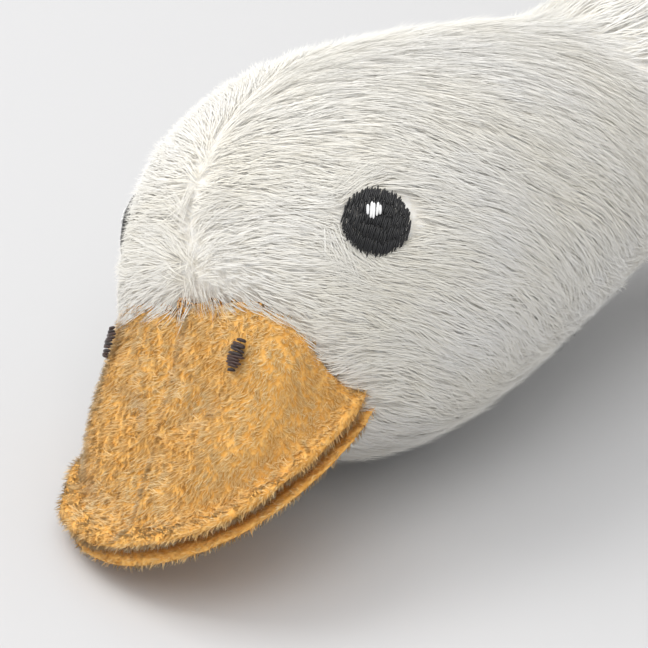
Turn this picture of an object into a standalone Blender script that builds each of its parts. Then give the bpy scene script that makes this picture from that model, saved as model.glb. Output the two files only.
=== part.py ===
"""A plush goose that lies on its belly, at its real size, in metres.

It faces -Y, its left is +X and up is +Z. The origin is the middle of the flat
patch of the belly that rests on the floor.
"""

import math

import bmesh
import bpy
from mathutils import Matrix, Vector

# Body, without the tail
BODY_LENGTH = 0.166
BODY_WIDTH = 0.108
BODY_HEIGHT = 0.087
BODY_SAG = 0.0078
FLOOR_PRESS = 0.0012
TAIL_LENGTH = 0.034
TAIL_RISE = 0.026
# Neck, from the body to the middle of the head
NECK_WIDTH = 0.0365
NECK_REACH = 0.092
NECK_ROOT_HEIGHT = 0.036
NECK_LOW_HEIGHT = 0.0265
# Head, in its own directions, with its length ahead of its middle and behind it
HEAD_WIDTH = 0.0580
HEAD_HEIGHT = 0.0535
HEAD_FRONT = 0.0295
HEAD_BACK = 0.0370
HEAD_SIDE = 0.006
NAPE_TUCK = 0.17
CHIN_FLAT = 0.0006
HEAD_TURN = 11.0
HEAD_NOD = 2.0
HEAD_ROLL = 21.0
# Bill, measured along the plane of its rolled rim
BILL_REACH = 0.0572
BILL_WIDTH = 0.0446
BILL_SIDE = 0.0015
BILL_DROP = 0.0043
BILL_SETBACK = 0.0034
BILL_NOD = 16.5
BROW_HEIGHT = 0.0185
RIM_THICKNESS = 0.0028
RIM_WIDTH = 0.0048
GROOVE_DEPTH = 0.0014
LOWER_BILL_THICKNESS = 0.0019
# Embroidery
EYE_WIDTH = 0.0080
EYE_TURN = 53.0
EYE_RISE = 19.0
GLINT_WIDTH = 0.0020
GLINT_LENGTH = 0.0024
NOSTRIL_WIDTH = 0.0030
NOSTRIL_LENGTH = 0.0044
NOSTRIL_SPACING = 0.0250
NOSTRIL_REACH = 0.0320
STITCH_THICKNESS = 0.0007
PATCH_LIFT = 0.004
PATCH_INSET = 0.22
# Wings and feet, whose insets run from the front and the back end of the body
WING_LENGTH = 0.088
WING_HEIGHT = 0.046
WING_THICKNESS = 0.0060
WING_EDGE = 0.3
WING_INSET = 0.043
WING_MIDDLE = 0.048
FOOT_LENGTH = 0.052
FOOT_WIDTH = 0.042
FOOT_THICKNESS = 0.0085
FOOT_SPREAD = 32.0
FOOT_SIDE = 0.033
FOOT_INSET = 0.030
# Clear space between two pieces that are sewn together
SEAM_GAP = 0.0004
WING_GAP = 0.0009

COVER_SIDES = 16
COLOURS = {
    "white_fur": (0.86, 0.84, 0.80, 1.0),
    "mustard_plush": (0.76, 0.42, 0.10, 1.0),
    "black_thread": (0.006, 0.006, 0.008, 1.0),
    "brown_thread": (0.030, 0.012, 0.010, 1.0),
    "white_thread": (0.88, 0.88, 0.86, 1.0),
}


def clear_scene():
    for old in list(bpy.data.objects):
        bpy.data.objects.remove(old, do_unlink=True)


def new_collection(name):
    collection = bpy.data.collections.new(name)
    bpy.context.scene.collection.children.link(collection)
    return collection


def material(name):
    made = bpy.data.materials.get(name)
    if made is None:
        made = bpy.data.materials.new(name)
        made.use_nodes = True
        shader = made.node_tree.nodes["Principled BSDF"]
        shader.inputs["Base Color"].default_value = COLOURS[name]
        shader.inputs["Roughness"].default_value = 0.9
        shader.inputs["Metallic"].default_value = 0.0
    return made


def add_object(name, mesh, slot, collection):
    mesh.shade_smooth()
    obj = bpy.data.objects.new(name, mesh)
    obj.data.materials.append(material(slot))
    collection.objects.link(obj)
    return obj


def smooth(obj, levels):
    modifier = obj.modifiers.new("soft form", "SUBSURF")
    modifier.levels = levels
    modifier.render_levels = levels
    return modifier


def cut_away(obj, cutter, name):
    modifier = obj.modifiers.new(name, "BOOLEAN")
    modifier.object = cutter
    modifier.operation = "DIFFERENCE"
    modifier.solver = "EXACT"
    return modifier


def head_turning(nodding):
    """How the head or the bill is turned: x to its left, -y ahead and z up."""
    turn = Matrix.Rotation(math.radians(HEAD_TURN), 4, "Z")
    nod = Matrix.Rotation(math.radians(nodding), 4, "X")
    roll = Matrix.Rotation(math.radians(-HEAD_ROLL), 4, "Y")
    return turn @ nod @ roll


def head_matrix():
    """The middle of the head, at the height where its chin touches the floor, and its directions."""
    turned = head_turning(HEAD_NOD)
    down = turned.to_3x3().inverted() @ Vector((0, 0, 1))
    half = Vector((HEAD_WIDTH / 2 * down.x, HEAD_FRONT * down.y, HEAD_HEIGHT / 2 * down.z))
    middle = Vector((HEAD_SIDE, -BODY_LENGTH / 2 - NECK_REACH, half.length - CHIN_FLAT))
    return Matrix.Translation(middle) @ turned


def ring(centre, turned, width, above, below, fullness=2.0):
    """One section of the cover: an oval across the spine, level a little below the floor."""
    points = []
    for i in range(COVER_SIDES):
        angle = 2 * math.pi * i / COVER_SIDES
        across = math.copysign(abs(math.cos(angle)) ** (2 / fullness), math.cos(angle))
        up = math.copysign(abs(math.sin(angle)) ** (2 / fullness), math.sin(angle))
        height = above if up > 0 else below
        point = centre + turned @ Vector((width * across, 0, height * up))
        point.z = max(point.z, -FLOOR_PRESS)
        points.append(point)
    return points


# Sections of the tail from its end to the body, as shares of its length and of the body's width and height
TAIL_STATIONS = (
    (1.00, 0.16, 0.12),
    (0.72, 0.30, 0.22),
    (0.34, 0.46, 0.37),
    (-0.06, 0.62, 0.56),
)


def body_rings():
    """Sections from the tail to the front of the body, whose spine runs along -Y."""
    level = Matrix.Identity(3)
    half = BODY_LENGTH / 2
    middle = BODY_HEIGHT / 2 - BODY_SAG
    rings = []
    for along, wide, tall in TAIL_STATIONS:
        centre = Vector((0, half + TAIL_LENGTH * along, middle + TAIL_RISE * (along + 0.3)))
        width = BODY_WIDTH / 2 * wide
        height = BODY_HEIGHT / 2 * tall
        rings.append(ring(centre, level, width, height, height))
    for angle in (40, 58, 76, 94, 112, 130, 146):
        turn = math.radians(angle)
        size = math.sin(turn) ** 0.8
        y = half * math.cos(turn)
        rings.append(
            ring(
                Vector((0, y, middle)),
                level,
                BODY_WIDTH / 2 * size,
                BODY_HEIGHT / 2 * size,
                (middle + BODY_SAG) * size,
                2.15,
            )
        )
    return rings


# Sections of the neck, from the body to the head, as shares of its run and its width
NECK_STATIONS = (
    (0.00, 1.38),
    (0.20, 1.18),
    (0.45, 1.08),
    (0.72, 1.05),
    (0.93, 1.04),
)
# Sections of the head from its back to its front, as shares of its length and width
HEAD_STATIONS = (
    (-1.00, 0.69),
    (-0.92, 0.74),
    (-0.77, 0.805),
    (-0.55, 0.875),
    (-0.28, 0.95),
    (0.05, 1.00),
    (0.38, 0.965),
    (0.64, 0.85),
    (0.84, 0.655),
    (0.96, 0.39),
)


def neck_and_head_rings():
    """Sections from the neck's root to the front of the head, along a spine that bends and rolls."""
    head = head_matrix()
    middle = head.translation
    turned = head.to_quaternion()
    ahead = head.to_3x3() @ Vector((0, -1, 0))
    level = Matrix.Identity(3).to_quaternion()
    start = Vector((0, -BODY_LENGTH / 2 + NECK_WIDTH * 0.1, NECK_ROOT_HEIGHT))
    sink = Vector((0, 0, NECK_LOW_HEIGHT - middle.z))
    nape = middle + Vector((-HEAD_SIDE * 0.5, HEAD_BACK, 0)) + sink
    pull = Vector((0, (start.y - nape.y) / 3, 0))
    rings = []
    neck = NECK_WIDTH / 2
    for t, wide in NECK_STATIONS:
        s = 1 - t
        centre = s**3 * start + 3 * s * s * t * (start - pull) + 3 * s * t * t * (nape + pull) + t**3 * nape
        way = level.slerp(turned, t * 0.7).to_matrix()
        rings.append(ring(centre, way, neck * wide, neck * wide, neck * wide))
    for along, size in HEAD_STATIONS:
        share = max(-along, 0)
        centre = middle + (nape - middle) * share + ahead * HEAD_FRONT * max(along, 0)
        way = turned.slerp(level, share * 0.3).to_matrix()
        high = HEAD_HEIGHT / 2 * size
        rings.append(ring(centre, way, HEAD_WIDTH / 2 * size, high, high * (1 - NAPE_TUCK * share)))
    return rings


def cover_mesh(name, grow=0.0):
    """The white cover, from tail to head, as one closed skin. It is grown by a margin to cut its neighbours."""
    rings = body_rings() + neck_and_head_rings()
    mesh = bpy.data.meshes.new(name)
    bm = bmesh.new()
    loops = [[bm.verts.new(point) for point in points] for points in rings]
    for near, far in zip(loops, loops[1:]):
        for i in range(COVER_SIDES):
            j = (i + 1) % COVER_SIDES
            bm.faces.new((near[i], near[j], far[j], far[i]))
    for loop in (loops[0], loops[-1]):
        middle = bm.verts.new(sum((v.co for v in loop), Vector()) / COVER_SIDES)
        for i in range(COVER_SIDES):
            bm.faces.new((loop[i], loop[(i + 1) % COVER_SIDES], middle))
    bmesh.ops.recalc_face_normals(bm, faces=bm.faces)
    bm.to_mesh(mesh)
    bm.free()
    if grow:
        mesh.update()
        normals = [v.normal.copy() for v in mesh.vertices]
        for vertex, normal in zip(mesh.vertices, normals):
            vertex.co += normal * grow
    return mesh


def add_floor_cutter(collection):
    """A block below the floor, which cuts the flat patches on which the belly and the chin rest."""
    mesh = bpy.data.meshes.new("floor_cutter")
    size = (BODY_LENGTH + NECK_REACH + HEAD_WIDTH) * 3
    bm = bmesh.new()
    bmesh.ops.create_cube(bm, size=size, matrix=Matrix.Translation((0, 0, -size / 2)))
    bm.to_mesh(mesh)
    bm.free()
    return add_object("floor_cutter", mesh, "white_fur", collection)


def bill_matrix():
    """The bill's own directions: x to its left, -y ahead and z square to its rim. It droops below the face."""
    root = head_matrix() @ Vector((BILL_SIDE, BILL_SETBACK, -BILL_DROP))
    return Matrix.Translation(root) @ head_turning(HEAD_NOD + BILL_NOD)


# Stations of the bill, from inside the head to its tip, as shares of its reach, half width and brow height
BILL_STATIONS = (
    (0.26, 0.62, 1.08),
    (0.36, 0.82, 1.08),
    (0.47, 0.965, 1.04),
    (0.58, 1.00, 0.82),
    (0.70, 0.985, 0.56),
    (0.815, 0.89, 0.37),
    (0.91, 0.69, 0.26),
    (0.975, 0.40, 0.20),
    (1.00, 0.0, 0.175),
)


def bill_outline():
    return [(reach * BILL_REACH, wide * BILL_WIDTH / 2, tall * BROW_HEIGHT) for reach, wide, tall in BILL_STATIONS]


def upper_bill_half():
    """The left half of the upper bill: a rolled rim that narrows to the mouth's corner, a groove and the dome."""
    tip = BILL_REACH
    rows = []
    for reach, half, ridge in bill_outline():
        share = reach / tip
        rim = RIM_WIDTH * share
        inner = max(half - rim, 0)
        pull = RIM_WIDTH * share**6
        groove = RIM_THICKNESS - GROOVE_DEPTH
        rows.append(
            [
                (0, reach - pull * 0.9, 0),
                (inner * 0.75, reach - pull * 0.7, 0),
                (max(half - RIM_THICKNESS * 0.4, 0), reach - pull * 0.08, 0),
                (half, reach, RIM_THICKNESS * 0.55),
                (max(half - rim * 0.42, 0), reach - pull * 0.42, RIM_THICKNESS * 1.08),
                (inner, reach - pull, groove),
                (inner * 0.97, reach - pull * 1.25, groove + (ridge - groove) * 0.46),
                (inner * 0.82, reach - pull * 1.45, groove + (ridge - groove) * 0.86),
                (inner * 0.44, reach - pull * 1.6, groove + (ridge - groove) * 1.02),
                (0, reach - pull * 1.7, ridge),
            ]
        )
    return rows


def half_shell(name, rows):
    """Half of a bill piece from its rows of points, open at the middle, with its root closed."""
    mesh = bpy.data.meshes.new(name)
    bm = bmesh.new()
    grid = [[bm.verts.new((x, -y, z)) for x, y, z in row] for row in rows]
    for near, far in zip(grid, grid[1:]):
        for i in range(len(near) - 1):
            bm.faces.new((near[i], near[i + 1], far[i + 1], far[i]))
    bm.faces.new(grid[0])
    bmesh.ops.recalc_face_normals(bm, faces=bm.faces)
    bm.to_mesh(mesh)
    bm.free()
    return mesh


def lower_bill_half():
    """The left half of the thin padded lower bill, which follows the rim from below."""
    top = -SEAM_GAP
    low = top - LOWER_BILL_THICKNESS
    rows = []
    for reach, half, ridge in bill_outline():
        pull = RIM_WIDTH * 0.5 * (reach / BILL_REACH) ** 6
        rows.append(
            [
                (0, reach - pull, top),
                (half * 0.6, reach - pull * 0.6, top),
                (max(half - RIM_THICKNESS * 0.3, 0), reach - pull * 0.1, top),
                (max(half - RIM_THICKNESS * 0.2, 0), reach - pull * 0.05, (top + low) / 2),
                (max(half - RIM_THICKNESS * 0.9, 0), reach - pull * 0.4, low),
                (half * 0.5, reach - pull * 0.8, low),
                (0, reach - pull * 1.2, low),
            ]
        )
    return rows


def add_bill(name, rows, levels, cutter, collection):
    """A bill piece: half of it, mirrored, softened and cut to sit against the face."""
    obj = add_object(name, half_shell(name, rows), "mustard_plush", collection)
    obj.matrix_world = bill_matrix()
    mirror = obj.modifiers.new("right half", "MIRROR")
    mirror.use_clip = True
    mirror.merge_threshold = 0.0001
    smooth(obj, levels)
    cut_away(obj, cutter, "seat on the face")
    return obj


def surface_at(obj, outside, inside):
    """The place and the outward direction where a line from outside to inside meets an object."""
    bpy.context.view_layer.update()
    graph = bpy.context.evaluated_depsgraph_get()
    made = obj.evaluated_get(graph)
    to_local = made.matrix_world.inverted()
    start = to_local @ outside
    way = (to_local @ inside) - start
    hit, place, normal, _ = made.ray_cast(start, way.normalized())
    if not hit:
        raise ValueError("the line misses " + obj.name)
    outward = (made.matrix_world.to_3x3() @ normal).normalized()
    return made.matrix_world @ place, outward


def facing(place, outward, upright):
    """A placing whose z is outward and whose y runs as near as it can along upright."""
    z = outward.normalized()
    x = upright.cross(z).normalized()
    y = z.cross(x)
    return Matrix.Translation(place) @ Matrix((x, y, z)).transposed().to_4x4()


def wrap(obj, target, gap, thickness, middle=None):
    """Lays a flat patch on another piece and gives it its thickness, less outside the middle group."""
    lay = obj.modifiers.new("lie on the surface", "SHRINKWRAP")
    lay.target = target
    lay.wrap_method = "PROJECT"
    lay.wrap_mode = "ABOVE_SURFACE"
    lay.use_project_z = True
    lay.use_negative_direction = True
    lay.use_positive_direction = False
    lay.offset = gap
    thick = obj.modifiers.new("thickness", "SOLIDIFY")
    thick.thickness = thickness
    thick.offset = 1.0
    if middle:
        thick.vertex_group = middle.name
        thick.thickness_vertex_group = WING_EDGE


def oval_patch(name, width, length, sides, slot, place, target, collection):
    """An oval of satin stitches laid on the surface of another piece."""
    mesh = bpy.data.meshes.new(name)
    bm = bmesh.new()
    bmesh.ops.create_circle(bm, cap_ends=True, segments=sides, radius=0.5)
    bmesh.ops.inset_individual(bm, faces=bm.faces[:], thickness=PATCH_INSET)
    bmesh.ops.scale(bm, vec=(width, length, 1), verts=bm.verts)
    bmesh.ops.recalc_face_normals(bm, faces=bm.faces)
    bm.to_mesh(mesh)
    bm.free()
    if mesh.polygons[0].normal.z < 0:
        mesh.flip_normals()
    obj = add_object(name, mesh, slot, collection)
    obj.matrix_world = place @ Matrix.Translation((0, 0, PATCH_LIFT))
    wrap(obj, target, SEAM_GAP, STITCH_THICKNESS)
    return obj


def add_eye(side, cover, collection):
    """The black eye and, over it, the small white glint."""
    head = head_matrix()
    name = "left" if side > 0 else "right"
    turn = math.radians(EYE_TURN)
    rise = math.radians(EYE_RISE)
    way = Vector((side * math.sin(turn) * math.cos(rise), -math.cos(turn) * math.cos(rise), math.sin(rise)))
    spot, outward = surface_at(cover, head @ (way * HEAD_WIDTH), head.translation)
    up = head.to_3x3() @ Vector((0, 0, 1))
    place = facing(spot, outward, up)
    eye = oval_patch("eye_" + name, EYE_WIDTH, EYE_WIDTH, 24, "black_thread", place, cover, collection)
    shine = place @ Matrix.Translation((0, EYE_WIDTH * 0.19, 0))
    oval_patch("eye_glint_" + name, GLINT_WIDTH, GLINT_LENGTH, 12, "white_thread", shine, eye, collection)


def add_nostril(side, bill, collection):
    name = "left" if side > 0 else "right"
    own = bill_matrix()
    inside = own @ Vector((side * NOSTRIL_SPACING / 2, -NOSTRIL_REACH * 0.9, 0))
    outside = own @ Vector((side * NOSTRIL_SPACING / 2, -NOSTRIL_REACH * 1.3, BROW_HEIGHT * 2))
    spot, outward = surface_at(bill, outside, inside)
    along = own.to_3x3() @ Vector((side * -0.25, 1, 0.6))
    place = facing(spot, outward, along)
    oval_patch("nostril_" + name, NOSTRIL_WIDTH, NOSTRIL_LENGTH, 16, "brown_thread", place, bill, collection)


# Stations of a wing from its shoulder to its tip, as shares of its length and height
WING_STATIONS = (
    (0.00, 0.12, 0.08),
    (0.08, 0.36, 0.28),
    (0.28, 0.50, 0.46),
    (0.52, 0.46, 0.50),
    (0.76, 0.30, 0.40),
    (0.93, 0.12, 0.26),
    (1.00, 0.02, 0.16),
)
WING_STRIPS = 4


def add_wing(side, cover, collection):
    """A folded wing: a padded leaf that is sewn along the side of the body."""
    name = "wing_left" if side > 0 else "wing_right"
    mesh = bpy.data.meshes.new(name)
    bm = bmesh.new()
    rows = []
    for along, above, below in WING_STATIONS:
        x = side * WING_LENGTH * along
        top = WING_HEIGHT * above
        low = -WING_HEIGHT * below
        steps = [low + (top - low) * i / WING_STRIPS for i in range(WING_STRIPS + 1)]
        rows.append([bm.verts.new((x, y, 0)) for y in steps])
    for near, far in zip(rows, rows[1:]):
        for i in range(WING_STRIPS):
            corners = (near[i], far[i], far[i + 1], near[i + 1])
            bm.faces.new(corners if side > 0 else corners[::-1])
    bm.to_mesh(mesh)
    bm.free()
    obj = add_object(name, mesh, "white_fur", collection)
    back = Vector((0, side, 0))
    out = Vector((side, 0, 0))
    basis = Matrix((back, Vector((0, 0, 1)), out)).transposed().to_4x4()
    front = WING_INSET - BODY_LENGTH / 2
    obj.matrix_world = Matrix.Translation((side * BODY_WIDTH, front, WING_MIDDLE)) @ basis
    middle = obj.vertex_groups.new(name="padded middle")
    width = WING_STRIPS + 1
    last = width * (len(WING_STATIONS) - 1)
    inner = [i for i in range(width, last) if i % width not in (0, WING_STRIPS)]
    middle.add(inner, 1.0, "REPLACE")
    smooth(obj, 1)
    wrap(obj, cover, WING_GAP, WING_THICKNESS, middle)
    return obj


def foot_radius(angle):
    """Half the foot's outline at an angle from straight ahead: three blunt toes with webs between them."""
    toes = 1 + 0.10 * math.cos(6 * angle) * (1 if math.cos(angle) > 0 else 0)
    return toes * (1.0 if math.cos(angle) > 0 else 0.86)


def add_foot(side, cutter, collection):
    """A padded webbed foot that lies flat beside the back of the belly."""
    name = "foot_left" if side > 0 else "foot_right"
    mesh = bpy.data.meshes.new(name)
    bm = bmesh.new()
    sides = 24
    layers = ((0.70, 0.0), (0.88, 0.0), (1.0, 0.42), (0.88, 0.86), (0.5, 1.0))
    rings = []
    for share, height in layers:
        loop = []
        for i in range(sides):
            angle = 2 * math.pi * i / sides
            radius = foot_radius(angle) * share
            x = FOOT_WIDTH / 2 * radius * math.sin(angle)
            y = FOOT_LENGTH / 2 * radius * math.cos(angle)
            loop.append(bm.verts.new((x, y, FOOT_THICKNESS * height)))
        rings.append(loop)
    for low, high in zip(rings, rings[1:]):
        for i in range(sides):
            j = (i + 1) % sides
            bm.faces.new((low[i], low[j], high[j], high[i]))
    bm.faces.new(rings[0][::-1])
    bm.faces.new(rings[-1])
    bmesh.ops.recalc_face_normals(bm, faces=bm.faces)
    bm.to_mesh(mesh)
    bm.free()
    obj = add_object(name, mesh, "mustard_plush", collection)
    spread = Matrix.Rotation(math.radians(-side * FOOT_SPREAD), 4, "Z")
    obj.matrix_world = Matrix.Translation((side * FOOT_SIDE, BODY_LENGTH / 2 - FOOT_INSET, 0)) @ spread
    smooth(obj, 1)
    cut_away(obj, cutter, "seat under the body")
    return obj


def build():
    clear_scene()
    goose = new_collection("plush_goose")
    cutters = new_collection("cutters")
    cutters.hide_render = True
    cover = add_object("head_neck_and_body", cover_mesh("head_neck_and_body"), "white_fur", goose)
    smooth(cover, 1)
    floor_cutter = add_floor_cutter(cutters)
    floor_cutter.hide_render = True
    floor_cutter.display_type = "WIRE"
    cut_away(cover, floor_cutter, "flat where it rests")
    cutter = add_object("cover_cutter", cover_mesh("cover_cutter", SEAM_GAP), "white_fur", cutters)
    cutter.hide_render = True
    cutter.display_type = "WIRE"
    smooth(cutter, 1)
    bill = add_bill("beak_upper", upper_bill_half(), 2, cutter, goose)
    add_bill("beak_lower", lower_bill_half(), 1, cutter, goose)
    for side in (1, -1):
        add_eye(side, cover, goose)
        add_nostril(side, bill, goose)
        add_wing(side, cover, goose)
        add_foot(side, cutter, goose)


build()
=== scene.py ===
# %% [markdown]
# # A plush goose, lying on its belly
# The real toy is a cover of white faux fur filled with fibre, with a bill and feet of short
# mustard plush, and eyes and nostrils that are embroidered. Fur is what makes it look soft, so
# most of this lesson is about making fur as plain geometry: thousands of thin closed strands
# that grow from a skin a little inside the outer form. Geometry is chosen over hair curves
# because it survives every export, and its outline against the light is real.

# %% Load the frame
import math

import bmesh
import bpy
import numpy as np
from mathutils import Matrix, Vector, noise
from mathutils.bvhtree import BVHTree
from mathutils.kdtree import KDTree


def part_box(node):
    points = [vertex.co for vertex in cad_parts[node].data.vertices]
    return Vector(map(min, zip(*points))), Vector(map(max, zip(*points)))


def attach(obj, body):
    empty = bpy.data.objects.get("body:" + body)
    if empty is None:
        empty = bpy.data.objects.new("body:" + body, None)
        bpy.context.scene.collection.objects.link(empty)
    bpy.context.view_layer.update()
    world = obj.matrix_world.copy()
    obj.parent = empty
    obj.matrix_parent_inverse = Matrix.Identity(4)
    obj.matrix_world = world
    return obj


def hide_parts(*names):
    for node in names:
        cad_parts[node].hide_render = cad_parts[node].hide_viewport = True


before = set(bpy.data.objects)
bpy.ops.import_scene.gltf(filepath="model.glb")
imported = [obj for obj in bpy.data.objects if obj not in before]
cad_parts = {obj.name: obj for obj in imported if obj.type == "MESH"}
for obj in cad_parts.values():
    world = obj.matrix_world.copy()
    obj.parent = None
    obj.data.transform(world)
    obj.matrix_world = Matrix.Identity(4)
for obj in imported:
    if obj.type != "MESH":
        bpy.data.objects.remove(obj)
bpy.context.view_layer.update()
print("the frame has", len(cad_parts), "nodes")

# %% [markdown]
# ## The camera
# The goose faces -Y and lies on Z = 0. The photograph looks down on its face from its left, with
# a long lens from close by, so that only head and bill fill the picture. The middle of the head
# is placed at its pixel by moving the camera sideways, which keeps the lens straight.

# %% Camera
PICTURE = 648
PIXEL = 0.000125
HEAD_MIDDLE = Vector((0.0060, -0.1750, 0.0265))
HEAD_PIXEL = (361, 242)
VIEW_AZIMUTH = 52.0
VIEW_ELEVATION = 30.0
VIEW_DISTANCE = 0.55
SENSOR_MM = 36.0


def direction(azimuth, elevation):
    """The way from the object to a viewer. Azimuth 0 is in front of the goose."""
    a = math.radians(azimuth)
    e = math.radians(elevation)
    return Vector((math.sin(a) * math.cos(e), -math.cos(a) * math.cos(e), math.sin(e)))


def add_camera():
    back = direction(VIEW_AZIMUTH, VIEW_ELEVATION)
    turned = back.to_track_quat("Z", "Y")
    right = turned @ Vector((1, 0, 0))
    up = turned @ Vector((0, 1, 0))
    camera = bpy.data.objects.new("camera", bpy.data.cameras.new("camera"))
    aside = (HEAD_PIXEL[0] - PICTURE / 2) * PIXEL
    above = (PICTURE / 2 - HEAD_PIXEL[1]) * PIXEL
    camera.location = HEAD_MIDDLE + back * VIEW_DISTANCE - right * aside - up * above
    camera.rotation_euler = turned.to_euler()
    camera.data.sensor_width = SENSOR_MM
    camera.data.lens = SENSOR_MM * VIEW_DISTANCE / (PICTURE * PIXEL)
    bpy.context.scene.collection.objects.link(camera)
    bpy.context.scene.camera = camera
    return camera


camera = add_camera()
print("lens", round(camera.data.lens), "mm")

# %% [markdown]
# ## Materials
# Faux fur is acrylic pile: matt and nearly white at the tips. Its roots are painted a little darker
# and warmer, a painted shade for the light that sinks between the strands. The mustard plush is a
# short polyester pile whose nap is brushed into lighter and darker patches; its roots are painted
# darker too, as painted shade. The embroidery is rayon thread, which has a satin gleam. Each strand
# carries an attribute with its way from root to tip and a number of its own, so that one material
# can paint shade at the roots and make no two strands quite alike.

# %% Small helpers for materials
STRAND = "strand"


def colour(text):
    """A linear colour from an sRGB hex value."""
    parts = [int(text[i : i + 2], 16) / 255 for i in (1, 3, 5)]
    return tuple(c / 12.92 if c < 0.04045 else ((c + 0.055) / 1.055) ** 2.4 for c in parts) + (1.0,)


def add_node(material, kind, settings=(), links=()):
    """Adds a node, sets its properties and sockets, and links its sockets to other nodes' outputs."""
    tree = material.node_tree
    node = tree.nodes.new(kind)
    for name, value in dict(settings).items():
        if hasattr(node, name):
            setattr(node, name, value)
        else:
            node.inputs[name].default_value = value
    for name, source in dict(links).items():
        tree.links.new(source, node.inputs[name])
    return node


def new_material(name, roughness, sheen=0.0):
    made = bpy.data.materials.new(name)
    made.use_nodes = True
    shader = made.node_tree.nodes["Principled BSDF"]
    shader.inputs["Roughness"].default_value = roughness
    shader.inputs["Sheen Weight"].default_value = sheen
    shader.inputs["Specular IOR Level"].default_value = 0.2
    return made, shader


def ramp(material, source, stops):
    """A colour ramp through (place, hex) stops."""
    node = add_node(material, "ShaderNodeValToRGB", links={"Fac": source})
    elements = node.color_ramp.elements
    while len(elements) < len(stops):
        elements.new(0.5)
    for element, (place, text) in zip(elements, stops):
        element.position = place
        element.color = colour(text)
    return node.outputs["Color"]


def multiply(material, first, second):
    """The product of two colours."""
    node = add_node(material, "ShaderNodeMix", {"data_type": "RGBA", "blend_type": "MULTIPLY"})
    node.inputs[0].default_value = 1.0
    material.node_tree.links.new(first, node.inputs[6])
    material.node_tree.links.new(second, node.inputs[7])
    return node.outputs[2]


def noise_at(material, size_mm, detail=2.0):
    place = add_node(material, "ShaderNodeTexCoord")
    spots = add_node(
        material,
        "ShaderNodeTexNoise",
        {"Scale": 1000.0 / size_mm, "Detail": detail},
        {"Vector": place.outputs["Object"]},
    )
    return spots.outputs["Fac"]


def pile_material(name, root_shade_stops, own_stops, patch_stops, patch_mm, roughness, sheen):
    """Strands with painted shade at the root that fades to the tip colour, each with its own tone, in soft
    patches.
    """
    made, shader = new_material(name, roughness, sheen)
    given = add_node(made, "ShaderNodeAttribute", {"attribute_name": STRAND})
    parts = add_node(made, "ShaderNodeSeparateColor", links={"Color": given.outputs["Color"]})
    # Painted shade: this ramp runs from the darker root colour to the light tip colour.
    along = ramp(made, parts.outputs["Red"], root_shade_stops)
    own = ramp(made, parts.outputs["Green"], own_stops)
    patched = ramp(made, noise_at(made, patch_mm), patch_stops)
    whole = multiply(made, multiply(made, along, own), patched)
    made.node_tree.links.new(whole, shader.inputs["Base Color"])
    return made


# %% The materials
# Painted shade: the first stops make the fur's roots darker and warmer than its nearly white tips.
white_fur = pile_material(
    "acrylic_faux_fur",
    ((0.0, "#F4EEE0"), (0.4, "#FEFCF6"), (1.0, "#FFFFFE")),
    ((0.0, "#FAF8F3"), (1.0, "#FFFFFF")),
    ((0.3, "#FDFBF5"), (0.7, "#FFFFFF")),
    14.0,
    0.85,
    0.1,
)
# Painted shade: the first stops make the plush's roots a deeper orange than its light golden tips.
mustard_pile = pile_material(
    "mustard_polyester_plush",
    ((0.0, "#E8AE60"), (0.4, "#F9D494"), (1.0, "#FFEEC8")),
    ((0.0, "#F2E2C8"), (1.0, "#FFFFFF")),
    ((0.32, "#FAE8C8"), (0.68, "#FFFFFF")),
    8.0,
    0.8,
    0.2,
)


def cloth_material(name, low, high, grain_mm, bump_mm):
    """The knitted backing under a pile: nearly hidden, so a fine uneven ground is enough."""
    made, shader = new_material(name, 0.95)
    grain = noise_at(made, grain_mm, 3.0)
    tone = ramp(made, grain, ((0.35, low), (0.65, high)))
    made.node_tree.links.new(tone, shader.inputs["Base Color"])
    bump = add_node(
        made,
        "ShaderNodeBump",
        {"Strength": 0.8, "Distance": bump_mm / 1000},
        {"Height": grain},
    )
    made.node_tree.links.new(bump.outputs["Normal"], shader.inputs["Normal"])
    return made


fur_ground = cloth_material("fur_backing_knit", "#F8F3E8", "#FEFCF7", 1.2, 0.4)
plush_ground = cloth_material("plush_backing_knit", "#E0A04C", "#F4C070", 0.7, 0.3)


def thread_material(name, dark, light):
    """Rayon embroidery thread: satin, with each stitch a little lighter or darker."""
    made, shader = new_material(name, 0.42, 0.1)
    given = add_node(made, "ShaderNodeAttribute", {"attribute_name": STRAND})
    parts = add_node(made, "ShaderNodeSeparateColor", links={"Color": given.outputs["Color"]})
    tone = ramp(made, parts.outputs["Green"], ((0.0, dark), (1.0, light)))
    made.node_tree.links.new(tone, shader.inputs["Base Color"])
    shader.inputs["Specular IOR Level"].default_value = 0.5
    return made


black_thread = thread_material("black_rayon_thread", "#050506", "#141418")
brown_thread = thread_material("brown_rayon_thread", "#1C0D0A", "#40261C")
white_thread = thread_material("white_rayon_thread", "#F2F2F0", "#FFFFFF")
print("materials:", len(bpy.data.materials))

# %% [markdown]
# ## The head's and the bill's own directions
# Head and bill are turned and rolled, so their details are easiest to place in their own
# directions: x to the goose's left, -y ahead, z up.

# %% Own directions
HEAD_TURN = 11.0
HEAD_NOD = 2.0
HEAD_ROLL = 21.0
BILL_NOD = 16.5
BILL_ROOT = Vector((0.0015, 0.0034, -0.0043))


def turned_by(nodding):
    turn = Matrix.Rotation(math.radians(HEAD_TURN), 3, "Z")
    nod = Matrix.Rotation(math.radians(nodding), 3, "X")
    roll = Matrix.Rotation(math.radians(-HEAD_ROLL), 3, "Y")
    return turn @ nod @ roll


HEAD_WAYS = turned_by(HEAD_NOD)
BILL_WAYS = turned_by(HEAD_NOD + BILL_NOD)
BILL_MIDDLE = HEAD_MIDDLE + HEAD_WAYS @ BILL_ROOT


def into(points, middle, ways):
    """World points, one a row, in a piece's own directions."""
    return (points - np.array(middle)) @ np.array(ways)


def outof(rows, ways):
    """Directions given in a piece's own directions, one a row, as world directions."""
    return rows @ np.array(ways).T


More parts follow.
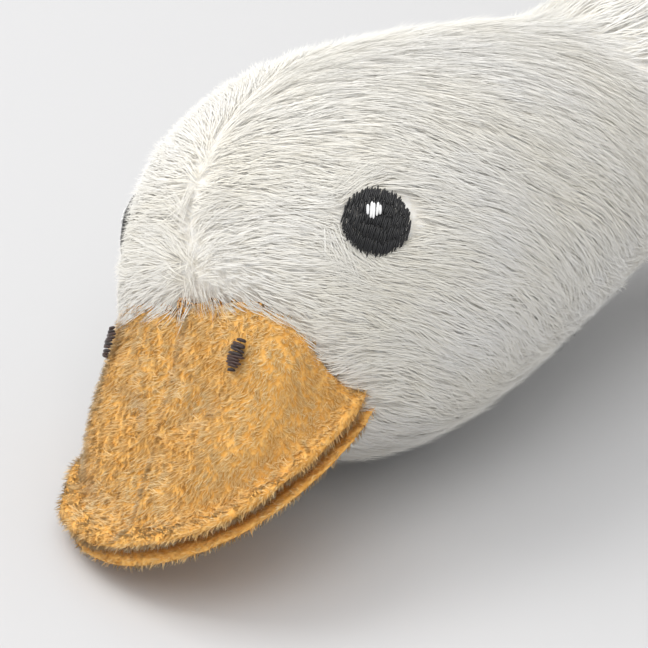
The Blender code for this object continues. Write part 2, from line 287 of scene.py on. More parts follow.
# %% [markdown]
# ## Soft forms from the solids
# The solid of a stuffed piece is a plain faceted form. Each piece starts as a copy of it: its
# points are merged, a voxel remesh gives even faces, and a smooth takes the facets away. The
# result is moved in along its normals by the depth of the pile, so that the tips of the pile end
# about where the solid ends. The skin of the body is moved in further on, once the bill is made.

# %% Copies of the solids
def only(obj):
    """Deselects everything, then selects one object and makes it active."""
    bpy.ops.object.select_all(action="DESELECT")
    obj.select_set(True)
    bpy.context.view_layer.objects.active = obj


def apply_modifier(obj, name, kind, settings):
    modifier = obj.modifiers.new(name, kind)
    for key, value in settings.items():
        setattr(modifier, key, value)
    only(obj)
    bpy.ops.object.modifier_apply(modifier=modifier.name)


def arrays(obj):
    """The points, point normals and triangles of a mesh."""
    mesh = obj.data
    mesh.calc_loop_triangles()
    points = np.empty(len(mesh.vertices) * 3)
    mesh.vertices.foreach_get("co", points)
    normals = np.empty(len(mesh.vertices) * 3, np.float32)
    mesh.vertex_normals.foreach_get("vector", normals)
    faces = np.empty(len(mesh.loop_triangles) * 3, np.int32)
    mesh.loop_triangles.foreach_get("vertices", faces)
    return points.reshape(-1, 3), normals.reshape(-1, 3).astype(float), faces.reshape(-1, 3)


def move_points(obj, points):
    obj.data.vertices.foreach_set("co", points.astype(np.float32).ravel())
    obj.data.update()


def soft_copy(node, name, voxel, rounds, inward):
    """A smooth, even copy of a solid, moved in along its normals."""
    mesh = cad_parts[node].data.copy()
    obj = bpy.data.objects.new(name, mesh)
    bpy.context.scene.collection.objects.link(obj)
    only(obj)
    bpy.ops.object.mode_set(mode="EDIT")
    bpy.ops.mesh.select_all(action="SELECT")
    bpy.ops.mesh.remove_doubles(threshold=0.00001)
    bpy.ops.object.mode_set(mode="OBJECT")
    apply_modifier(obj, "even faces", "REMESH", {"mode": "VOXEL", "voxel_size": voxel})
    apply_modifier(obj, "soft", "SMOOTH", {"factor": 0.5, "iterations": rounds})
    points, normals, _ = arrays(obj)
    move_points(obj, points - normals * inward)
    obj.data.materials.clear()
    obj.data.shade_smooth()
    return obj


FUR_DEPTH = 0.0012
PLUSH_DEPTH = 0.0005
LOWER_PLUSH_DEPTH = 0.00025
WING_DEPTH = 0.0013
SKIN_VOXEL = 0.0021
BILL_VOXEL = 0.0008
WING_VOXEL = 0.0014
FOOT_VOXEL = 0.0013
SIDES = ("left", "right")
skin = soft_copy("head_neck_and_body", "head_neck_and_body_skin", SKIN_VOXEL, 4, 0.0)
upper_bill = soft_copy("beak_upper", "beak_upper_padded", BILL_VOXEL, 3, PLUSH_DEPTH)
lower_bill = soft_copy("beak_lower", "beak_lower_padded", BILL_VOXEL, 2, LOWER_PLUSH_DEPTH)
wings = {side: soft_copy("wing_" + side, "wing_padded_" + side, WING_VOXEL, 4, WING_DEPTH) for side in SIDES}
feet = {side: soft_copy("foot_" + side, "foot_padded_" + side, FOOT_VOXEL, 3, PLUSH_DEPTH) for side in SIDES}
for obj in (skin, upper_bill, lower_bill, *wings.values(), *feet.values()):
    print(obj.name, len(obj.data.polygons), "faces")

# %% [markdown]
# ## Seams and folds of the bill
# The upper bill is two panels of plush joined along its ridge, so the ridge is a shallow seam.
# It is deepest at the root, where the filling makes two round lobes under the brow. The bill is
# lumpy, and where it bends down there is a soft crease across each side. The rim is stitched
# down along a groove. The seam, the lobes, the lumps and the creases are moves of the points in
# the bill's own directions.

# %% Shape the bill
RIDGE_SEAM_DEPTH = 0.0009
RIDGE_SEAM_WIDTH = 0.0011
LOBE_DIP_DEPTH = 0.0016
LOBE_DIP_WIDTH = 0.0028
LOBE_END = 0.0315
LOBE_FADE = 0.006
LUMP_SIZE = 0.0055
LUMP_HEIGHT = 0.0006
LUMP_SEED = 3.1
CREASE_REACH = 0.0415
CREASE_DEPTH = 0.0011
CREASE_WIDTH = 0.0016
CREASE_SLOPE = 0.35
CREASE_SIDES = (0.0015, 0.0125)
CREASE_FADES = (0.002, 0.003)


def lumps(points, size, seed):
    """A smooth uneven height between -1 and 1 at each point."""
    shift = Vector((seed, seed * 2.7, seed * 1.3))
    return np.array([noise.noise(Vector(p) / size + shift) for p in points])


def hill(values, width):
    return np.exp(-((values / width) ** 2))


def shape_bill(obj):
    points, normals, _ = arrays(obj)
    own = into(points, BILL_MIDDLE, BILL_WAYS)
    facing = np.clip(into(normals, (0, 0, 0), BILL_WAYS)[:, 2], 0, 1)
    height = lumps(points, LUMP_SIZE, LUMP_SEED) * LUMP_HEIGHT
    height -= hill(own[:, 0], RIDGE_SEAM_WIDTH) * facing * RIDGE_SEAM_DEPTH
    near_root = np.clip((LOBE_END + own[:, 1]) / LOBE_FADE, 0, 1)
    height -= hill(own[:, 0], LOBE_DIP_WIDTH) * near_root * LOBE_DIP_DEPTH
    aside = np.abs(own[:, 0])
    bend = -own[:, 1] - CREASE_REACH + CREASE_SLOPE * (aside - CREASE_SIDES[0])
    start = np.clip((aside - CREASE_SIDES[0]) / CREASE_FADES[0], 0, 1)
    end = np.clip((CREASE_SIDES[1] - aside) / CREASE_FADES[1], 0, 1)
    height -= hill(bend, CREASE_WIDTH) * (start * end) * facing * CREASE_DEPTH
    move_points(obj, points + normals * height[:, None])


shape_bill(upper_bill)
print("shaped", upper_bill.name)

# %% [markdown]
# ## Strands
# A long strand is a thin closed spindle: a root, three points round its bend and a tip, which
# makes six triangles. It is flat, with its broad side toward the skin. It is built with numpy,
# because tens of thousands share one mesh. Long fur lies in tufts, so roots are first given to
# the nearest tuft. All strands of a tuft lean its way and close up a little toward its tip.
# Light passes through a real acrylic strand, so a coat of them is shaded almost like one soft
# surface. Each strand therefore borrows most of its shading normal from the coat.

# %% Strand meshes
RING = ((1.0, -0.12), (-1.0, -0.12), (0.0, 0.28))
COAT_WAVER = 0.08
SPINDLE = ((0, 1, 3), (1, 2, 3), (2, 0, 3), (1, 0, 4), (2, 1, 4), (0, 2, 4))
SPIKE = ((0, 1, 2), (1, 0, 3), (2, 1, 3), (0, 2, 3))
COAT_SHARE = 0.88


def unit(rows):
    return rows / np.maximum(np.linalg.norm(rows, axis=-1, keepdims=True), 1e-12)


def strand_mesh(name, middles, ends, ups, widths, own, shade_to_tip, faces, material, rng):
    """One mesh of closed strands: three points round each middle, then the ends.

    For each of these points there is a painted shade value: 0 at a root, which is painted darkest, 1 at a
    tip.
    """
    count = len(middles)
    along = unit(ends[-1] - middles)
    across = unit(np.cross(ups, along))
    over = np.cross(along, across)
    coat = unit(ups + rng.normal(0, COAT_WAVER, (count, 3)))
    outward = [across * x + over * y for x, y in RING]
    points = np.stack([middles + out * widths[:, None] for out in outward] + list(ends), 1)
    shading = [unit(coat * COAT_SHARE + unit(out) * (1 - COAT_SHARE)) for out in outward]
    shading = np.stack(shading + [coat] * len(ends), 1)
    size = 3 + len(ends)
    starts = np.arange(count)[:, None] * size
    rows = [row for face in faces for row in (starts + np.array(face)).tolist()]
    mesh = bpy.data.meshes.new(name)
    mesh.from_pydata(points.reshape(-1, 3).tolist(), [], rows)
    tone = mesh.attributes.new(STRAND, "FLOAT_COLOR", "POINT")
    values = np.ones((count, size, 4), np.float32)
    # Red channel: painted shade, dark at the root and light at the tip.
    values[:, :, 0] = shade_to_tip
    values[:, :, 1] = own[:, None]
    tone.data.foreach_set("color", values.ravel())
    mesh.shade_smooth()
    mesh.normals_split_custom_set_from_vertices(shading.reshape(-1, 3).tolist())
    mesh.materials.append(material)
    obj = bpy.data.objects.new(name, mesh)
    bpy.context.scene.collection.objects.link(obj)
    print(name, count, "strands,", count * len(faces), "triangles")
    return obj


def scatter(obj, count, rng, keep=None):
    """Random points spread evenly over a mesh, with their normals. keep marks the wanted ones."""
    points, normals, faces = arrays(obj)
    a, b, c = (points[faces[:, i]] for i in range(3))
    if keep is not None:
        wanted = keep((a + b + c) / 3)
        faces, a, b, c = faces[wanted], a[wanted], b[wanted], c[wanted]
    areas = np.linalg.norm(np.cross(b - a, c - a), axis=1) / 2
    picked = rng.choice(len(faces), size=count, p=areas / areas.sum())
    u, v = rng.random((2, count))
    over = u + v > 1
    u[over], v[over] = 1 - u[over], 1 - v[over]
    w = 1 - u - v
    place = a[picked] * w[:, None] + b[picked] * u[:, None] + c[picked] * v[:, None]
    corner = [normals[faces[picked, i]] for i in range(3)]
    normal = unit(corner[0] * w[:, None] + corner[1] * u[:, None] + corner[2] * v[:, None])
    print("  ", obj.name, round(count / (areas.sum() * 1e6), 2), "a square mm")
    return place, normal


UPWARD = Vector((0, 0, 1))
RAY_STEP = 0.000001


class Surface:
    """A mesh that answers where its nearest place is, and which way it faces there."""

    def __init__(self, obj):
        points, normals, faces = arrays(obj)
        self.tree = BVHTree.FromPolygons(points.tolist(), faces.tolist())
        self.face_normals = unit(normals[faces].sum(1))

    def nearest(self, points):
        places = np.empty((len(points), 3))
        index = np.empty(len(points), int)
        distance = np.empty(len(points))
        for i, point in enumerate(points):
            places[i], _, index[i], distance[i] = self.tree.find_nearest(point)
        return places, self.face_normals[index], distance

    def at_height(self, points, heights):
        """Each point moved to a height above the nearest place, and the way the surface faces there."""
        places, normals, _ = self.nearest(points)
        return places + normals * heights[:, None], normals

    def keep_clear(self, points, gap, reach):
        """Points that are inside this piece, or nearly, moved just outside it."""
        places, _, distance = self.nearest(points)
        way = unit(points - places)
        within = np.zeros(len(points), bool)
        near = np.flatnonzero(distance < reach)
        within[near] = [self.holds(points[i]) for i in near]
        way[within] *= -1
        low = within | (distance < gap)
        points[low] = places[low] + way[low] * gap
        return points

    def holds(self, point):
        """Whether a point is inside: a ray up from there crosses the surface an odd number of times."""
        start = Vector(point)
        crossed = 0
        while (hit := self.tree.ray_cast(start, UPWARD)[0]) is not None:
            crossed += 1
            start = hit + UPWARD * RAY_STEP
        return crossed % 2 == 1


# %% [markdown]
# ## The skin under the fur
# The skin is moved in by the depth of the fur, but hardly at all near the bill, where the brow is
# a thin lip. The fur then stands proud there, which is the thick roll of the brow.

# %% Sink the skin
BROW_FULL = 0.009
BROW_LEAST = 0.06
bill_surface = Surface(upper_bill)
lower_surface = Surface(lower_bill)


def bill_distance(points):
    return np.minimum(bill_surface.nearest(points)[2], lower_surface.nearest(points)[2])


def sink_skin():
    points, normals, _ = arrays(skin)
    depth = FUR_DEPTH * np.clip(bill_distance(points) / BROW_FULL, BROW_LEAST, 1)
    move_points(skin, points - normals * depth[:, None])


sink_skin()
skin_surface = Surface(skin)

# %% [markdown]
# ## The way the fur lies
# The head is two panels joined over the crown, and the nap runs from that seam down both cheeks
# and back to the neck. It parts around the eyes. From the neck on it runs to the tail. Slow
# noise turns it a little here and there, as a hand does that has stroked it.

# %% Directions of the nap
SEAM_HALF_WIDTH = 0.0040
FACE_SIDE = 0.75
FACE_BACK = 0.55
FACE_DOWN = 0.42
CHEEK_DOWN = 0.75
CHEEK_TOP = 0.008
CHEEK_RUN = 0.022
BODY_SIDE = 0.12
BODY_DOWN = 0.30
BODY_SIDE_FADE = 0.02
NAPE_START = -0.150
NAPE_END = -0.120
TAIL_START = 0.060
TAIL_RUN = 0.05
TAIL_RISE = 0.6
EYE_RADIUS = 0.0040
EYE_PARTING = 0.0105
EYE_FADE = 0.004
BILL_PARTING = 0.012
BILL_FADE = 0.005
BILL_TURNING = 0.9


def middle_of(node):
    low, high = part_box(node)
    return (low + high) / 2


eye_places = {side: middle_of("eye_" + side) for side in SIDES}


def nap(points):
    """The direction in which the fur lies at each point, before it is laid on the surface."""
    own = into(points, HEAD_MIDDLE, HEAD_WAYS)
    side = np.tanh(own[:, 0] / SEAM_HALF_WIDTH)
    cheek = np.clip((CHEEK_TOP - own[:, 2]) / CHEEK_RUN, 0, 1)
    down = -FACE_DOWN - cheek * CHEEK_DOWN
    face = outof(np.stack([side * FACE_SIDE, np.full(len(own), FACE_BACK), down], 1), HEAD_WAYS)
    for place in eye_places.values():
        away = points - np.array(place)
        distance = np.linalg.norm(away, axis=1, keepdims=True)
        away = away / distance
        toward = np.minimum(np.sum(face * away, 1, keepdims=True), 0)
        face = face - away * toward * np.clip((EYE_PARTING - distance) / EYE_FADE, 0, 1)
    aside = np.tanh(points[:, 0] / BODY_SIDE_FADE)
    body = np.stack([aside * BODY_SIDE, np.ones(len(own)), np.full(len(own), -BODY_DOWN)], 1)
    body[:, 2] += np.clip((points[:, 1] - TAIL_START) / TAIL_RUN, 0, 1) * TAIL_RISE
    share = np.clip((points[:, 1] - NAPE_START) / (NAPE_END - NAPE_START), 0, 1)[:, None]
    return along_bill(points, unit(unit(face) * (1 - share) + unit(body) * share))


def along_bill(points, ways):
    """Directions near the bill turned along its edge instead of into it."""
    ahead = -np.array(BILL_WAYS)[:, 1]
    for surface in (bill_surface, lower_surface):
        places, _, distance = surface.nearest(points)
        away = unit(points - places)
        toward = np.minimum(np.sum(ways * away, 1, keepdims=True), 0)
        near = np.clip((BILL_PARTING - distance) / BILL_FADE, 0, BILL_TURNING)[:, None]
        ways = ways - away * toward * near
        ways = ways - ahead * np.maximum(ways @ ahead, 0)[:, None] * near
    return unit(ways)


def swirl(points, size, strength, seed):
    """Slow random turning, the same for neighbouring points."""
    shift = Vector((seed, -seed, seed * 0.5))
    return np.array([noise.noise_vector(Vector(p) / size + shift) for p in points]) * strength


def lay_flat(ways, ups):
    """Directions laid on the surface."""
    return unit(ways - ups * np.sum(ways * ups, 1, keepdims=True))


# %% Tufts
SWIRL_SIZE = 0.011
SWIRL_TURN = 0.30
SWIRL_SEED = 5.0
TUFT_SCATTER = 0.10
STRAND_SCATTER = 0.13
ROOT_STEP = 0.0012
BEND_PLACE = 0.4
BEND_SPREAD = 0.9
FLOOR_GAP = 0.0002


def grow(skin_of, surface, count, tufts, rng, keep, flow, length, width, heights, lift=None):
    """Strands that lie in tufts over a surface: roots, bends, tips, coat directions, half widths.

    heights holds the height of the bends, the height of the tips and how much the tips vary.
    """
    centres, centre_ups = scatter(skin_of, tufts, rng, keep)
    turned = swirl(centres, SWIRL_SIZE, SWIRL_TURN, SWIRL_SEED)
    way = flow(centres) + turned + rng.normal(0, TUFT_SCATTER, (tufts, 3))
    way = lay_flat(way, centre_ups)
    reach = length * rng.uniform(0.75, 1.2, tufts)
    rise = rng.normal(0, heights[2], tufts)
    find = KDTree(tufts)
    for i, centre in enumerate(centres):
        find.insert(centre, i)
    find.balance()
    roots, ups = scatter(skin_of, count, rng, keep)
    owner = np.array([find.find(root)[1] for root in roots])
    offset = roots - centres[owner]
    leaning = way[owner] + rng.normal(0, STRAND_SCATTER, (count, 3))
    run = leaning * (reach[owner] * rng.uniform(0.7, 1.1, count))[:, None]
    roots = roots - way[owner] * ROOT_STEP
    bends = centres[owner] + run * BEND_PLACE + offset * BEND_SPREAD - way[owner] * ROOT_STEP
    tips = centres[owner] + run + offset * rng.uniform(0.6, 1.0, count)[:, None]
    extra = np.zeros(count) if lift is None else lift(roots + ups * heights[1])
    low = heights[0] * rng.uniform(0.8, 1.15, count) + extra * 0.7
    high = heights[1] + rise[owner] + rng.normal(0, heights[2] * 0.7, count) + extra
    bends, _ = surface.at_height(bends, low)
    tips, faced = surface.at_height(tips, np.maximum(high, heights[1] * 0.3))
    for rows in (bends, tips):
        rows[:, 2] = np.maximum(rows[:, 2], FLOOR_GAP)
    return roots, bends, tips, unit(ups + faced), width * rng.uniform(0.7, 1.25, count)


# Painted shade along a strand: darkest at the root, lighter round the bend, lightest at the tip.
SPINDLE_SHADE_TO_TIP = (0.45, 0.45, 0.45, 0.0, 1.0)


def fur_object(name, grown, rng):
    roots, bends, tips, ups, widths = grown
    own = rng.random(len(roots))
    ends = (roots, tips)
    return strand_mesh(name, bends, ends, ups, widths, own, SPINDLE_SHADE_TO_TIP, SPINDLE, white_fur, rng)


# %% [markdown]
# ## Fur of the head
# The head is what the picture is about, so it gets the finest strands. Roots that touch the bill
# or lie under the eyes are left out. Near the bill the strands are shorter and stand higher. One
# that would run a little way into the bill is moved out of it, and one that would run further in
# is left out. The opening of the fur round an eye lies a little up and back from the embroidery.

# %% Head fur
FUR_LENGTH = 0.0054
FUR_WIDTH = 0.000048
FUR_HEIGHTS = (0.0007, 0.0014, 0.00022)
HEAD_STRANDS = 31000
HEAD_TUFTS = 3600
STRAY = 0.0018
HEAD_END = -0.138
BROW_REACH = 0.008
BROW_LIFT = 0.0014
SHORT_REACH = 0.006
SHORTEST = 0.5
ROOT_CLEAR = 0.0003
BEND_CLEAR = 0.0004
TIP_CLEAR = 0.0007
CLEAR_REACH = 0.006
EYE_SHIFT = 0.0008
EYE_ROOTS = 0.95
EYE_BENDS = 0.9
EYE_TIPS = 0.8
EYE_DRAWN_BACK = 0.35


def brow(points):
    """How much higher the fur stands near the bill."""
    return np.clip(1 - bill_surface.nearest(points)[2] / BROW_REACH, 0, 1) * BROW_LIFT


def eye_distance(points):
    """Distance to the nearer eye, with the fur's opening a little up and back from the embroidery."""
    shift = outof(np.array([[0.0, 0.7, 0.7]]), HEAD_WAYS)[0] * EYE_SHIFT
    rows = [np.linalg.norm(points - np.array(place) - shift, axis=1) for place in eye_places.values()]
    return np.minimum(*rows)


def crown_side(sign):
    def keep(points):
        own = into(points, HEAD_MIDDLE, HEAD_WAYS)
        return (points[:, 1] < HEAD_END) & (own[:, 0] * sign > 0)

    return keep


def head_fur(name, sign, seed):
    rng = np.random.default_rng(seed)
    grown = grow(
        skin,
        skin_surface,
        HEAD_STRANDS,
        HEAD_TUFTS,
        rng,
        crown_side(sign),
        nap,
        FUR_LENGTH,
        FUR_WIDTH,
        FUR_HEIGHTS,
        brow,
    )
    roots, bends, tips, ups, widths = grown
    near_bill = bill_distance(roots + ups * FUR_DEPTH)
    tips = bends + (tips - bends) * np.clip(near_bill / SHORT_REACH, SHORTEST, 1)[:, None]
    free = bill_distance(roots) > ROOT_CLEAR
    free &= eye_distance(roots + ups * FUR_DEPTH) > EYE_RADIUS * EYE_ROOTS
    near = eye_distance(tips) < EYE_RADIUS * EYE_BENDS
    tips[near] = bends[near] + (tips[near] - bends[near]) * EYE_DRAWN_BACK
    free &= eye_distance(tips) > EYE_RADIUS * EYE_TIPS
    free &= eye_distance(bends) > EYE_RADIUS * EYE_BENDS
    wanted = (bends.copy(), tips.copy())
    for surface in (bill_surface, lower_surface):
        bends = surface.keep_clear(bends, BEND_CLEAR, CLEAR_REACH)
        tips = surface.keep_clear(tips, TIP_CLEAR, CLEAR_REACH)
    for rows, before in zip((bends, tips), wanted):
        free &= np.linalg.norm(rows - before, axis=1) < STRAY
    return fur_object(name, [rows[free] for rows in (roots, bends, tips, ups, widths)], rng)


furs = [head_fur("fur_head_left", 1, 11), head_fur("fur_head_right", -1, 12)]

# %% [markdown]
# ## Fur of the neck, the body and the wings
# Further from the face the strands get wider and fewer, because nothing there is seen as close.

# %% Body fur
BODY_FUR = (
    ("fur_neck", HEAD_END, -0.070, 16000, 1800, 0.0075, 0.00009, 21),
    ("fur_body_front", -0.070, 0.015, 11000, 2000, 0.0095, 0.00018, 22),
    ("fur_body_back", 0.015, 0.200, 11000, 2000, 0.0095, 0.00018, 23),
)
BODY_HEIGHTS = (0.0010, 0.0019, 0.0004)
WING_HEIGHTS = (0.0012, 0.0018, 0.0004)
WING_STRANDS = 3600
WING_TUFTS = 800
WING_LENGTH = 0.0085
WING_WIDTH = 0.00018
WING_SEEDS = {"left": 31, "right": 32}


def between(start, end):
    return lambda points: (points[:, 1] >= start) & (points[:, 1] < end)


for name, start, end, count, tufts, length, width, seed in BODY_FUR:
    rng = np.random.default_rng(seed)
    grown = grow(skin, skin_surface, count, tufts, rng, between(start, end), nap, length, width, BODY_HEIGHTS)
    furs.append(fur_object(name, grown, rng))

for side, wing in wings.items():
    rng = np.random.default_rng(WING_SEEDS[side])
    look = (nap, WING_LENGTH, WING_WIDTH, WING_HEIGHTS)
    grown = grow(wing, Surface(wing), WING_STRANDS, WING_TUFTS, rng, None, *look)
    furs.append(fur_object("fur_wing_" + side, grown, rng))

# %% [markdown]
# ## Short pile of the bill and feet
# Plush pile is only one or two millimetres long and leans less than the fur, so a straight spike
# of four triangles is enough. Small neighbourhoods lean together, which makes the speckle of
# light tips and dark gaps that plush has; the roots are also painted darker, a painted shade in
# the gaps.

# %% Pile
PILE_LENGTH = 0.00105
PILE_WIDTH = 0.00010
PILE_SWIRL_SIZE = 0.006
PILE_SWIRL_TURN = 0.6
CLUMP_SIZE = 0.0011
CLUMP_TURN = 1.3
PILE_SCATTER = 0.25
PILE_LEAN = 0.75
PILE_STAND = 0.65
PILE_FLOOR_GAP = 0.0001
PILE_ROOT_DEPTH = 0.0001
# Painted shade along a pile spike: dark at the root, light at the tip.
SPIKE_SHADE_TO_TIP = (0.0, 0.0, 0.0, 1.0)
FOOT_PILE = 4000
FOOT_PILE_LENGTH = 0.0018
FOOT_PILE_WIDTH = 0.00024
FOOT_SEEDS = {"left": 51, "right": 52}


def pile(name, surface, count, flow, seed, length=PILE_LENGTH, width=PILE_WIDTH):
    rng = np.random.default_rng(seed)
    roots, ups = scatter(surface, count, rng)
    turned = swirl(roots, PILE_SWIRL_SIZE, PILE_SWIRL_TURN, seed)
    way = flow(roots) + turned + swirl(roots, CLUMP_SIZE, CLUMP_TURN, seed + 3.0)
    way = lay_flat(way + rng.normal(0, PILE_SCATTER, (count, 3)), ups)
    reach = (length * rng.uniform(0.65, 1.2, count))[:, None]
    tips = roots + (way * PILE_LEAN + ups * PILE_STAND) * reach
    tips[:, 2] = np.maximum(tips[:, 2], PILE_FLOOR_GAP)
    faced = unit(ups + way * 0.25)
    widths = width * rng.uniform(0.75, 1.25, count)
    own = rng.random(count)
    base = roots - ups * PILE_ROOT_DEPTH
    return strand_mesh(name, base, (tips,), faced, widths, own, SPIKE_SHADE_TO_TIP, SPIKE, mustard_pile, rng)


def bill_flow(points):
    return np.tile(np.array(BILL_WAYS @ Vector((0, -0.8, -0.2))), (len(points), 1))


def foot_flow(points):
    return np.tile(np.array((0.0, 1.0, -0.2)), (len(points), 1))


piles = [
    pile("pile_beak_upper", upper_bill, 40000, bill_flow, 41),
    pile("pile_beak_lower", lower_bill, 10000, bill_flow, 42, 0.0010, 0.00013),
]
for side, foot in feet.items():
    look = (foot_flow, FOOT_SEEDS[side], FOOT_PILE_LENGTH, FOOT_PILE_WIDTH)
    piles.append(pile("pile_foot_" + side, foot, FOOT_PILE, *look))

# %% [markdown]
# ## Embroidery
# An eye is worked over a small padded disc: two layers of short black stitches at nearly the
# same slant, packed so tightly that their ends make a ragged rim. A few white stitches are the
# glint. A nostril is about ten rows of brown satin stitch.

# %% Stitches
STITCH_SIDES = 5
STITCH_SHARES = (0.0, 0.12, 0.5, 0.88, 1.0)
STITCH_FAT = (0.35, 0.85, 1.0, 0.85, 0.35)
DOME_FALL = 0.8


def stitch_object(name, starts, ends, ups, radius, arch, own, material):
    """Closed rounded stitches between pairs of points, each arched a little."""
    count = len(starts)
    rings = len(STITCH_SHARES)
    along = unit(ends - starts)
    across = unit(np.cross(ups, along))
    points = np.empty((count, rings, STITCH_SIDES, 3))
    for i, share in enumerate(STITCH_SHARES):
        middle = starts + (ends - starts) * share + ups * arch * 4 * share * (1 - share)
        for j in range(STITCH_SIDES):
            angle = 2 * math.pi * j / STITCH_SIDES
            out = across * math.cos(angle) + ups * math.sin(angle)
            points[:, i, j] = middle + out * radius * STITCH_FAT[i]
    faces = []
    for k in range(count):
        base = k * rings * STITCH_SIDES
        for i in range(rings - 1):
            low = base + i * STITCH_SIDES
            high = low + STITCH_SIDES
            for j in range(STITCH_SIDES):
                following = (j + 1) % STITCH_SIDES
                faces.append((low + j, high + j, high + following, low + following))
        last = base + (rings - 1) * STITCH_SIDES
        faces.append(tuple(base + j for j in range(STITCH_SIDES)))
        faces.append(tuple(last + j for j in reversed(range(STITCH_SIDES))))
    mesh = bpy.data.meshes.new(name)
    mesh.from_pydata(points.reshape(-1, 3).tolist(), [], faces)
    tone = mesh.attributes.new(STRAND, "FLOAT_COLOR", "POINT")
    values = np.ones((count, rings * STITCH_SIDES, 4), np.float32)
    values[:, :, 1] = own[:, None]
    tone.data.foreach_set("color", values.ravel())
    work = bmesh.new()
    work.from_mesh(mesh)
    bmesh.ops.recalc_face_normals(work, faces=work.faces)
    work.to_mesh(mesh)
    work.free()
    mesh.shade_smooth()
    mesh.materials.append(material)
    obj = bpy.data.objects.new(name, mesh)
    bpy.context.scene.collection.objects.link(obj)
    print(name, count, "stitches")
    return obj


def patch_place(node, hint, upright):
    """The middle of an embroidered patch and its directions: across, up and outward."""
    points, _, _ = arrays(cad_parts[node])
    middle = points.mean(0)
    out = np.linalg.svd(points - middle)[2][2]
    out = out * math.copysign(1, np.dot(out, hint))
    up = np.array(upright) - out * np.dot(upright, out)
    up = up / np.linalg.norm(up)
    return middle, np.cross(up, out), up, out


def oval_stitches(place, half_width, half_height, pitch, slant, dome, rng, ragged, split):
    """Rows of stitches that fill an oval on a patch, over a low dome."""
    middle, across, up, out = place
    turn = math.radians(slant)
    u = across * math.cos(turn) + up * math.sin(turn)
    v = -across * math.sin(turn) + up * math.cos(turn)
    starts, ends = [], []
    rows = int(2 * half_height / pitch)
    for i in range(rows):
        y = -half_height + (i + 0.5) * pitch
        half = half_width * math.sqrt(max(1 - (y / half_height) ** 2, 0.02))
        parts = max(1, round(2 * half / split))
        edges = np.linspace(-half, half, parts + 1) + rng.normal(0, ragged, parts + 1)
        for a, b in zip(edges, edges[1:]):
            lifts = []
            for x in (a, b):
                fall = (x / half_width) ** 2 * DOME_FALL + (y / half_height) ** 2 * DOME_FALL
                lifts.append(dome * max(1 - fall, 0))
            tilt = rng.normal(0, pitch * 0.25, 2)
            starts.append(middle + u * a + v * (y + tilt[0]) + out * lifts[0])
            ends.append(middle + u * b + v * (y + tilt[1]) + out * lifts[1])
    return np.array(starts), np.array(ends), np.tile(out, (len(starts), 1))


# %% Eyes and nostrils
EYE_PITCH = 0.00022
EYE_SINK = 0.0012
EYE_DOME = 0.0009
HEAD_UP = HEAD_WAYS @ Vector((0, 0, 1))


def add_eye(side, seed):
    rng = np.random.default_rng(seed)
    hint = np.array(eye_places[side] - HEAD_MIDDLE)
    middle, across, up, out = patch_place("eye_" + side, hint, HEAD_UP)
    low = (middle - out * EYE_SINK, across, up, out)
    layers = []
    for slant, lift in ((62, 0.0), (48, 0.00012)):
        starts, ends, ups = oval_stitches(
            low, EYE_RADIUS, EYE_RADIUS * 1.04, EYE_PITCH, slant, EYE_DOME, rng, 0.00018, 0.0016
        )
        layers.append((starts + out * lift, ends + out * lift, ups))
    starts, ends, ups = (np.concatenate(rows) for rows in zip(*layers))
    own = rng.random(len(starts))
    return stitch_object("eye_embroidery_" + side, starts, ends, ups, 0.00013, 0.00009, own, black_thread)


def add_glint(side, seed):
    rng = np.random.default_rng(seed)
    hint = np.array(eye_places[side] - HEAD_MIDDLE)
    middle, across, up, out = patch_place("eye_" + side, hint, HEAD_UP)
    spot = middle + up * 0.0013 + out * (EYE_DOME - EYE_SINK + 0.00022)
    starts, ends, ups = oval_stitches(
        (spot, across, up, out), 0.00095, 0.0010, 0.00036, 66, 0.0001, rng, 0.00025, 0.0030
    )
    own = rng.random(len(starts))
    name = "eye_glint_embroidery_" + side
    return stitch_object(name, starts, ends, ups, 0.00019, 0.00016, own, white_thread)


def add_nostril(side, seed):
    rng = np.random.default_rng(seed)
    hint = np.array(middle_of("nostril_" + side) - BILL_MIDDLE)
    sign = 1 if side == "left" else -1
    upright = BILL_WAYS @ Vector((sign * 0.35, 1, 0.6))
    middle, across, up, out = patch_place("nostril_" + side, hint, upright)
    place = (middle - out * 0.0002, across, up, out)
    starts, ends, ups = oval_stitches(place, 0.0012, 0.0021, 0.00040, sign * 12, 0.0003, rng, 0.00016, 0.0040)
    own = rng.random(len(starts))
    return stitch_object("nostril_embroidery_" + side, starts, ends, ups, 0.00024, 0.00025, own, brown_thread)


eyes = {side: add_eye(side, 61 + i) for i, side in enumerate(SIDES)}
glints = {side: add_glint(side, 71 + i) for i, side in enumerate(SIDES)}
nostrils = {side: add_nostril(side, 81 + i) for i, side in enumerate(SIDES)}

# %% [markdown]
# ## What each piece stands for
# Every visible piece rides on the one body of the toy, and the solid that it replaces is hidden.

# %% Ride, replace and declare
def declare(obj, nodes=()):
    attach(obj, "root")
    if nodes:
        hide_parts(*nodes)


skin.data.materials.append(fur_ground)
declare(skin, ("head_neck_and_body",))
for piece, node in ((upper_bill, "beak_upper"), (lower_bill, "beak_lower")):
    piece.data.materials.append(plush_ground)
    declare(piece, (node,))
for side in SIDES:
    wings[side].data.materials.append(fur_ground)
    declare(wings[side], ("wing_" + side,))
    feet[side].data.materials.append(plush_ground)
    declare(feet[side], ("foot_" + side,))
    declare(eyes[side], ("eye_" + side,))
    declare(glints[side], ("eye_glint_" + side,))
    declare(nostrils[side], ("nostril_" + side,))
for piece in furs:
    declare(piece)
for piece in piles:
    declare(piece)

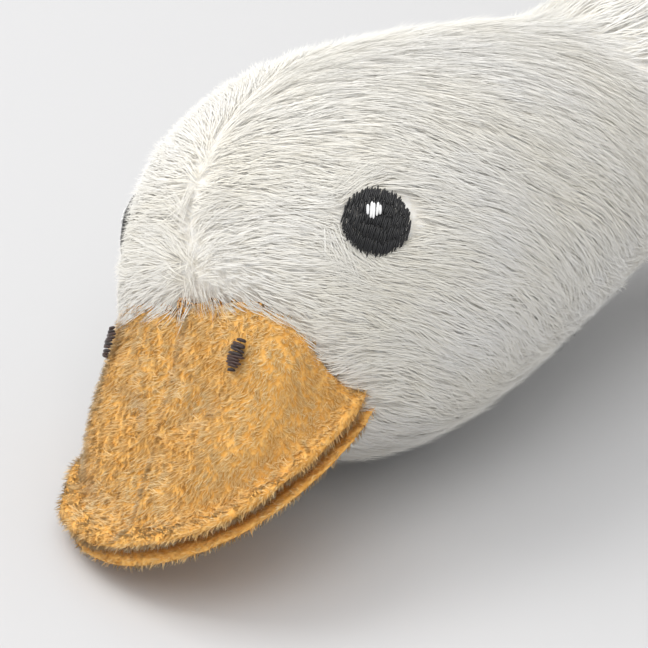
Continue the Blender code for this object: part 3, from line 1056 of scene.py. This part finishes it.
# %% [markdown]
# ## Floor and light
# A pale sweep of paper under two large soft lamps. The key lamp stands to the upper left of the
# picture, so the shadow falls softly toward the lower right. The high lamp stands above the
# camera and lights the top of the head and the neck. An even pale world fills the shadows.

# %% Floor, world and lamp
FLOOR_HALF = 3.0
LAMPS = (
    ("key lamp", 300.0, 58.0, 0.95, 0.60, 4.8),
    ("high lamp", 42.0, 62.0, 1.30, 1.10, 6.5),
)
FILL = 0.80


def add_floor():
    bpy.ops.object.select_all(action="DESELECT")
    bpy.ops.mesh.primitive_plane_add(size=FLOOR_HALF * 2, location=(0, 0, 0))
    floor = bpy.context.active_object
    floor.name = "paper_floor"
    made, shader = new_material("matt_paper", 0.95)
    shader.inputs["Base Color"].default_value = colour("#CBCBCC")
    floor.data.materials.append(made)
    return floor


def add_world():
    world = bpy.data.worlds.new("studio")
    world.use_nodes = True
    bpy.context.scene.world = world
    tree = world.node_tree
    ground = tree.nodes["Background"]
    ground.inputs["Color"].default_value = colour("#F8F9FB")
    ground.inputs["Strength"].default_value = FILL
    seen = tree.nodes.new("ShaderNodeBackground")
    seen.inputs["Color"].default_value = colour("#E6E6E6")
    path = tree.nodes.new("ShaderNodeLightPath")
    mixed = tree.nodes.new("ShaderNodeMixShader")
    tree.links.new(path.outputs["Is Camera Ray"], mixed.inputs["Fac"])
    tree.links.new(ground.outputs["Background"], mixed.inputs[1])
    tree.links.new(seen.outputs["Background"], mixed.inputs[2])
    tree.links.new(mixed.outputs["Shader"], tree.nodes["World Output"].inputs["Surface"])


def add_lamp(name, azimuth, elevation, distance, size, watts):
    light = bpy.data.lights.new(name, "AREA")
    light.size = size
    light.energy = watts
    light.color = (1.0, 0.985, 0.96)
    lamp = bpy.data.objects.new(name, light)
    way = direction(azimuth, elevation)
    lamp.location = HEAD_MIDDLE + way * distance
    lamp.rotation_euler = way.to_track_quat("Z", "Y").to_euler()
    bpy.context.scene.collection.objects.link(lamp)


add_floor()
add_world()
for settings in LAMPS:
    add_lamp(*settings)
bpy.context.scene.view_settings.view_transform = "Standard"
